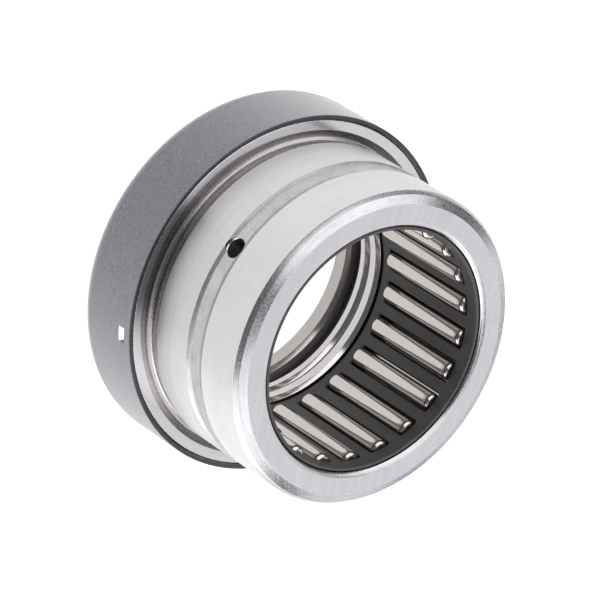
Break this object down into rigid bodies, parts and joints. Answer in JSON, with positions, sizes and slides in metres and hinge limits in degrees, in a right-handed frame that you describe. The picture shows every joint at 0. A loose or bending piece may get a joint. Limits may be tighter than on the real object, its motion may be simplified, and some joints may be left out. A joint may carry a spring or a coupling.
{
  "type": "combined needle roller and axial ball bearing",
  "caption": "Steel sleeve with caged needle rollers for radial load, and a flange with a caged ball thrust stage under a drawn end cap for axial load.",
  "frame": {"origin": "on the bearing axis, in the plane of the shaft washer's back face", "axes": "+Z along the bearing axis from the thrust end to the sleeve's end face; the lubrication hole faces -Y"},
  "size_m": [0.0482, 0.0482, 0.03],
  "materials": {
    "ground_ring_steel": "hardened bearing steel, finely ground seat and end face, satin",
    "ground_washer_steel": "hardened bearing steel, ground faces, duller bore",
    "phosphated_sheet": "deep-drawn sheet steel with a matte fine-grained grey phosphate coat",
    "needle_cage_polymer": "moulded dark charcoal cage, matte",
    "ball_cage_polymer": "moulded black cage, matte",
    "needle_steel": "ground and lapped bearing steel",
    "ball_steel": "lapped bearing steel, mirror bright"
  },
  "bodies": {
    "housing": {"outer_ring": "ground_ring_steel", "end_cap": "phosphated_sheet"},
    "shaft_washer": {"shaft_washer": "ground_washer_steel"},
    "ball_cage": {"ball_cage": "ball_cage_polymer"},
    "needle_cage": {"needle_cage": "needle_cage_polymer"},
    "needle_01": {"needle_01": "needle_steel"},
    "needle_02": {"needle_02": "needle_steel"},
    "needle_03": {"needle_03": "needle_steel"},
    "needle_04": {"needle_04": "needle_steel"},
    "needle_05": {"needle_05": "needle_steel"},
    "needle_06": {"needle_06": "needle_steel"},
    "needle_07": {"needle_07": "needle_steel"},
    "needle_08": {"needle_08": "needle_steel"},
    "needle_09": {"needle_09": "needle_steel"},
    "needle_10": {"needle_10": "needle_steel"},
    "needle_11": {"needle_11": "needle_steel"},
    "needle_12": {"needle_12": "needle_steel"},
    "needle_13": {"needle_13": "needle_steel"},
    "needle_14": {"needle_14": "needle_steel"},
    "needle_15": {"needle_15": "needle_steel"},
    "needle_16": {"needle_16": "needle_steel"},
    "needle_17": {"needle_17": "needle_steel"},
    "needle_18": {"needle_18": "needle_steel"},
    "needle_19": {"needle_19": "needle_steel"},
    "needle_20": {"needle_20": "needle_steel"},
    "needle_21": {"needle_21": "needle_steel"},
    "needle_22": {"needle_22": "needle_steel"},
    "ball_01": {"ball_01": "ball_steel"},
    "ball_02": {"ball_02": "ball_steel"},
    "ball_03": {"ball_03": "ball_steel"},
    "ball_04": {"ball_04": "ball_steel"},
    "ball_05": {"ball_05": "ball_steel"},
    "ball_06": {"ball_06": "ball_steel"},
    "ball_07": {"ball_07": "ball_steel"},
    "ball_08": {"ball_08": "ball_steel"},
    "ball_09": {"ball_09": "ball_steel"},
    "ball_10": {"ball_10": "ball_steel"},
    "ball_11": {"ball_11": "ball_steel"},
    "ball_12": {"ball_12": "ball_steel"},
    "ball_13": {"ball_13": "ball_steel"},
    "ball_14": {"ball_14": "ball_steel"},
    "ball_15": {"ball_15": "ball_steel"},
    "ball_16": {"ball_16": "ball_steel"},
    "ball_17": {"ball_17": "ball_steel"},
    "ball_18": {"ball_18": "ball_steel"}
  },
  "joints": [
    {"name": "washer_spin", "type": "hinge", "parent": "housing", "child": "shaft_washer", "pos_m": [0, 0, 0.002], "axis": [0, 0, 1], "continuous": true},
    {"name": "ball_cage_spin", "type": "hinge", "parent": "housing", "child": "ball_cage", "pos_m": [0, 0, 0.00475], "axis": [0, 0, 1], "continuous": true},
    {"name": "needle_cage_spin", "type": "hinge", "parent": "housing", "child": "needle_cage", "pos_m": [0, 0, 0.01965], "axis": [0, 0, 1], "continuous": true},
    {"name": "needle_01_spin", "type": "hinge", "parent": "needle_cage", "child": "needle_01", "pos_m": [0.01616, 0.00167, 0.01965], "axis": [0, 0, 1], "continuous": true},
    {"name": "needle_02_spin", "type": "hinge", "parent": "needle_cage", "child": "needle_02", "pos_m": [0.01504, 0.00616, 0.01965], "axis": [0, 0, 1], "continuous": true},
    {"name": "needle_03_spin", "type": "hinge", "parent": "needle_cage", "child": "needle_03", "pos_m": [0.01269, 0.01014, 0.01965], "axis": [0, 0, 1], "continuous": true},
    {"name": "needle_04_spin", "type": "hinge", "parent": "needle_cage", "child": "needle_04", "pos_m": [0.00932, 0.01331, 0.01965], "axis": [0, 0, 1], "continuous": true},
    {"name": "needle_05_spin", "type": "hinge", "parent": "needle_cage", "child": "needle_05", "pos_m": [0.0052, 0.0154, 0.01965], "axis": [0, 0, 1], "continuous": true},
    {"name": "needle_06_spin", "type": "hinge", "parent": "needle_cage", "child": "needle_06", "pos_m": [0.00065, 0.01624, 0.01965], "axis": [0, 0, 1], "continuous": true},
    {"name": "needle_07_spin", "type": "hinge", "parent": "needle_cage", "child": "needle_07", "pos_m": [-0.00395, 0.01576, 0.01965], "axis": [0, 0, 1], "continuous": true},
    {"name": "needle_08_spin", "type": "hinge", "parent": "needle_cage", "child": "needle_08", "pos_m": [-0.00823, 0.01401, 0.01965], "axis": [0, 0, 1], "continuous": true},
    {"name": "needle_09_spin", "type": "hinge", "parent": "needle_cage", "child": "needle_09", "pos_m": [-0.01185, 0.01112, 0.01965], "axis": [0, 0, 1], "continuous": true},
    {"name": "needle_10_spin", "type": "hinge", "parent": "needle_cage", "child": "needle_10", "pos_m": [-0.0145, 0.00733, 0.01965], "axis": [0, 0, 1], "continuous": true},
    {"name": "needle_11_spin", "type": "hinge", "parent": "needle_cage", "child": "needle_11", "pos_m": [-0.01598, 0.00295, 0.01965], "axis": [0, 0, 1], "continuous": true},
    {"name": "needle_12_spin", "type": "hinge", "parent": "needle_cage", "child": "needle_12", "pos_m": [-0.01616, -0.00167, 0.01965], "axis": [0, 0, 1], "continuous": true},
    {"name": "needle_13_spin", "type": "hinge", "parent": "needle_cage", "child": "needle_13", "pos_m": [-0.01504, -0.00616, 0.01965], "axis": [0, 0, 1], "continuous": true},
    {"name": "needle_14_spin", "type": "hinge", "parent": "needle_cage", "child": "needle_14", "pos_m": [-0.01269, -0.01014, 0.01965], "axis": [0, 0, 1], "continuous": true},
    {"name": "needle_15_spin", "type": "hinge", "parent": "needle_cage", "child": "needle_15", "pos_m": [-0.00932, -0.01331, 0.01965], "axis": [0, 0, 1], "continuous": true},
    {"name": "needle_16_spin", "type": "hinge", "parent": "needle_cage", "child": "needle_16", "pos_m": [-0.0052, -0.0154, 0.01965], "axis": [0, 0, 1], "continuous": true},
    {"name": "needle_17_spin", "type": "hinge", "parent": "needle_cage", "child": "needle_17", "pos_m": [-0.00065, -0.01624, 0.01965], "axis": [0, 0, 1], "continuous": true},
    {"name": "needle_18_spin", "type": "hinge", "parent": "needle_cage", "child": "needle_18", "pos_m": [0.00395, -0.01576, 0.01965], "axis": [0, 0, 1], "continuous": true},
    {"name": "needle_19_spin", "type": "hinge", "parent": "needle_cage", "child": "needle_19", "pos_m": [0.00823, -0.01401, 0.01965], "axis": [0, 0, 1], "continuous": true},
    {"name": "needle_20_spin", "type": "hinge", "parent": "needle_cage", "child": "needle_20", "pos_m": [0.01185, -0.01112, 0.01965], "axis": [0, 0, 1], "continuous": true},
    {"name": "needle_21_spin", "type": "hinge", "parent": "needle_cage", "child": "needle_21", "pos_m": [0.0145, -0.00733, 0.01965], "axis": [0, 0, 1], "continuous": true},
    {"name": "needle_22_spin", "type": "hinge", "parent": "needle_cage", "child": "needle_22", "pos_m": [0.01598, -0.00295, 0.01965], "axis": [0, 0, 1], "continuous": true},
    {"name": "ball_01_spin", "type": "hinge", "parent": "ball_cage", "child": "ball_01", "pos_m": [0.01925, 0, 0.00475], "axis": [1, 0, 0], "continuous": true},
    {"name": "ball_02_spin", "type": "hinge", "parent": "ball_cage", "child": "ball_02", "pos_m": [0.01809, 0.00658, 0.00475], "axis": [0.9397, 0.342, 0], "continuous": true},
    {"name": "ball_03_spin", "type": "hinge", "parent": "ball_cage", "child": "ball_03", "pos_m": [0.01475, 0.01237, 0.00475], "axis": [0.766, 0.6428, 0], "continuous": true},
    {"name": "ball_04_spin", "type": "hinge", "parent": "ball_cage", "child": "ball_04", "pos_m": [0.00962, 0.01667, 0.00475], "axis": [0.5, 0.866, 0], "continuous": true},
    {"name": "ball_05_spin", "type": "hinge", "parent": "ball_cage", "child": "ball_05", "pos_m": [0.00334, 0.01896, 0.00475], "axis": [0.1736, 0.9848, 0], "continuous": true},
    {"name": "ball_06_spin", "type": "hinge", "parent": "ball_cage", "child": "ball_06", "pos_m": [-0.00334, 0.01896, 0.00475], "axis": [-0.1736, 0.9848, 0], "continuous": true},
    {"name": "ball_07_spin", "type": "hinge", "parent": "ball_cage", "child": "ball_07", "pos_m": [-0.00962, 0.01667, 0.00475], "axis": [-0.5, 0.866, 0], "continuous": true},
    {"name": "ball_08_spin", "type": "hinge", "parent": "ball_cage", "child": "ball_08", "pos_m": [-0.01475, 0.01237, 0.00475], "axis": [-0.766, 0.6428, 0], "continuous": true},
    {"name": "ball_09_spin", "type": "hinge", "parent": "ball_cage", "child": "ball_09", "pos_m": [-0.01809, 0.00658, 0.00475], "axis": [-0.9397, 0.342, 0], "continuous": true},
    {"name": "ball_10_spin", "type": "hinge", "parent": "ball_cage", "child": "ball_10", "pos_m": [-0.01925, 0, 0.00475], "axis": [-1, 0, 0], "continuous": true},
    {"name": "ball_11_spin", "type": "hinge", "parent": "ball_cage", "child": "ball_11", "pos_m": [-0.01809, -0.00658, 0.00475], "axis": [-0.9397, -0.342, 0], "continuous": true},
    {"name": "ball_12_spin", "type": "hinge", "parent": "ball_cage", "child": "ball_12", "pos_m": [-0.01475, -0.01237, 0.00475], "axis": [-0.766, -0.6428, 0], "continuous": true},
    {"name": "ball_13_spin", "type": "hinge", "parent": "ball_cage", "child": "ball_13", "pos_m": [-0.00962, -0.01667, 0.00475], "axis": [-0.5, -0.866, 0], "continuous": true},
    {"name": "ball_14_spin", "type": "hinge", "parent": "ball_cage", "child": "ball_14", "pos_m": [-0.00334, -0.01896, 0.00475], "axis": [-0.1736, -0.9848, 0], "continuous": true},
    {"name": "ball_15_spin", "type": "hinge", "parent": "ball_cage", "child": "ball_15", "pos_m": [0.00334, -0.01896, 0.00475], "axis": [0.1736, -0.9848, 0], "continuous": true},
    {"name": "ball_16_spin", "type": "hinge", "parent": "ball_cage", "child": "ball_16", "pos_m": [0.00962, -0.01667, 0.00475], "axis": [0.5, -0.866, 0], "continuous": true},
    {"name": "ball_17_spin", "type": "hinge", "parent": "ball_cage", "child": "ball_17", "pos_m": [0.01475, -0.01237, 0.00475], "axis": [0.766, -0.6428, 0], "continuous": true},
    {"name": "ball_18_spin", "type": "hinge", "parent": "ball_cage", "child": "ball_18", "pos_m": [0.01809, -0.00658, 0.00475], "axis": [0.9397, -0.342, 0], "continuous": true}
  ],
  "couplings": [
    {"joint": "ball_cage_spin", "follows": "washer_spin", "ratio": 0.5},
    {"joint": "needle_01_spin", "follows": "needle_cage_spin", "ratio": -14},
    {"joint": "needle_02_spin", "follows": "needle_cage_spin", "ratio": -14},
    {"joint": "needle_03_spin", "follows": "needle_cage_spin", "ratio": -14},
    {"joint": "needle_04_spin", "follows": "needle_cage_spin", "ratio": -14},
    {"joint": "needle_05_spin", "follows": "needle_cage_spin", "ratio": -14},
    {"joint": "needle_06_spin", "follows": "needle_cage_spin", "ratio": -14},
    {"joint": "needle_07_spin", "follows": "needle_cage_spin", "ratio": -14},
    {"joint": "needle_08_spin", "follows": "needle_cage_spin", "ratio": -14},
    {"joint": "needle_09_spin", "follows": "needle_cage_spin", "ratio": -14},
    {"joint": "needle_10_spin", "follows": "needle_cage_spin", "ratio": -14},
    {"joint": "needle_11_spin", "follows": "needle_cage_spin", "ratio": -14},
    {"joint": "needle_12_spin", "follows": "needle_cage_spin", "ratio": -14},
    {"joint": "needle_13_spin", "follows": "needle_cage_spin", "ratio": -14},
    {"joint": "needle_14_spin", "follows": "needle_cage_spin", "ratio": -14},
    {"joint": "needle_15_spin", "follows": "needle_cage_spin", "ratio": -14},
    {"joint": "needle_16_spin", "follows": "needle_cage_spin", "ratio": -14},
    {"joint": "needle_17_spin", "follows": "needle_cage_spin", "ratio": -14},
    {"joint": "needle_18_spin", "follows": "needle_cage_spin", "ratio": -14},
    {"joint": "needle_19_spin", "follows": "needle_cage_spin", "ratio": -14},
    {"joint": "needle_20_spin", "follows": "needle_cage_spin", "ratio": -14},
    {"joint": "needle_21_spin", "follows": "needle_cage_spin", "ratio": -14},
    {"joint": "needle_22_spin", "follows": "needle_cage_spin", "ratio": -14},
    {"joint": "ball_01_spin", "follows": "washer_spin", "ratio": 4.0424},
    {"joint": "ball_02_spin", "follows": "washer_spin", "ratio": 4.0424},
    {"joint": "ball_03_spin", "follows": "washer_spin", "ratio": 4.0424},
    {"joint": "ball_04_spin", "follows": "washer_spin", "ratio": 4.0424},
    {"joint": "ball_05_spin", "follows": "washer_spin", "ratio": 4.0424},
    {"joint": "ball_06_spin", "follows": "washer_spin", "ratio": 4.0424},
    {"joint": "ball_07_spin", "follows": "washer_spin", "ratio": 4.0424},
    {"joint": "ball_08_spin", "follows": "washer_spin", "ratio": 4.0424},
    {"joint": "ball_09_spin", "follows": "washer_spin", "ratio": 4.0424},
    {"joint": "ball_10_spin", "follows": "washer_spin", "ratio": 4.0424},
    {"joint": "ball_11_spin", "follows": "washer_spin", "ratio": 4.0424},
    {"joint": "ball_12_spin", "follows": "washer_spin", "ratio": 4.0424},
    {"joint": "ball_13_spin", "follows": "washer_spin", "ratio": 4.0424},
    {"joint": "ball_14_spin", "follows": "washer_spin", "ratio": 4.0424},
    {"joint": "ball_15_spin", "follows": "washer_spin", "ratio": 4.0424},
    {"joint": "ball_16_spin", "follows": "washer_spin", "ratio": 4.0424},
    {"joint": "ball_17_spin", "follows": "washer_spin", "ratio": 4.0424},
    {"joint": "ball_18_spin", "follows": "washer_spin", "ratio": 4.0424}
  ]
}
